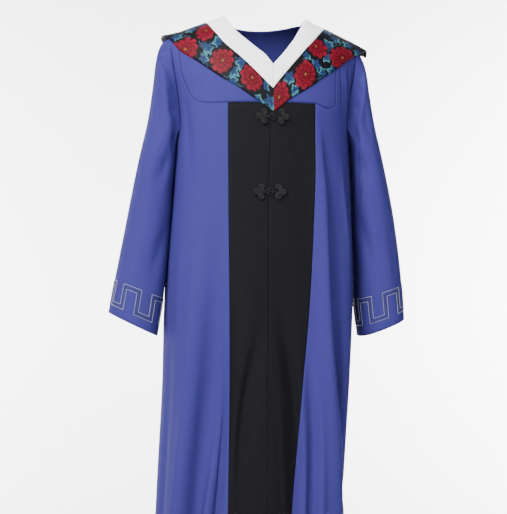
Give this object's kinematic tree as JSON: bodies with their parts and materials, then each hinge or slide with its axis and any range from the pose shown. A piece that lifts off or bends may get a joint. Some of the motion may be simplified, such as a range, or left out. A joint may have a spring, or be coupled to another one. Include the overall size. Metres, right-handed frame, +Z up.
{
  "type": "graduation gown",
  "caption": "Full-length graduation gown held in its worn form: wide sleeves, printed shawl collar over a white V band, black centre fronts and cord fastenings.",
  "frame": {"origin": "middle of the wearer's neck at shoulder height, where the shoulders carry the gown", "axes": "+Z up, the wearer faces -Y, the wearer's left is +X"},
  "size_m": [0.573, 0.3467, 1.1688],
  "materials": {
    "gown_blue": "smooth blue-violet gown cloth with a soft sheen",
    "panel_black": "smooth black cloth",
    "band_white": "white satin",
    "collar_print": "black satin printed with red flowers and blue-green leaves",
    "frog_cord": "round braided black cord"
  },
  "bodies": {
    "root": {"back": "gown_blue", "yoke_right": "gown_blue", "yoke_left": "gown_blue", "front_right": "gown_blue", "front_left": "gown_blue", "sleeve_right": "gown_blue", "sleeve_left": "gown_blue", "panel_right": "panel_black", "panel_left": "panel_black", "neckband_right": "band_white", "neckband_left": "band_white", "collar_right": "collar_print", "collar_left": "collar_print", "frog_upper_right": "frog_cord", "frog_upper_left": "frog_cord", "frog_upper_knot": "frog_cord", "frog_lower_right": "frog_cord", "frog_lower_left": "frog_cord", "frog_lower_knot": "frog_cord"}
  },
  "joints": []
}
